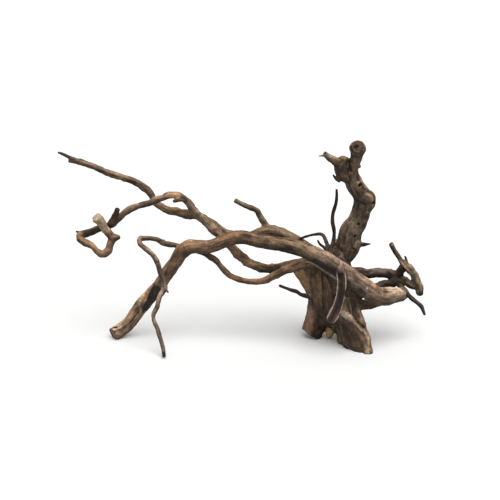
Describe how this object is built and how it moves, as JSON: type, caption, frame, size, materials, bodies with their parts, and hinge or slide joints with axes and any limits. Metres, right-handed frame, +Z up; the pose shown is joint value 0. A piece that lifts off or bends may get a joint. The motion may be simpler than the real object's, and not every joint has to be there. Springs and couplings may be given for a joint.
{
  "type": "spiderwood root",
  "caption": "Dry branching driftwood root for aquarium layouts: a sawn stump with an upright spar, a long arching limb and winding thin roots.",
  "frame": {"origin": "on the floor, on the sawn face of the stump's front foot", "axes": "+Z up, +X towards the stump's right side and along the root's length, +Y to the back"},
  "size_m": [0.456, 0.1309, 0.2614],
  "materials": {
    "wood": "dry, weathered, matt bark-free root wood"
  },
  "bodies": {
    "root": {"spiderwood_root": "wood"}
  },
  "joints": []
}
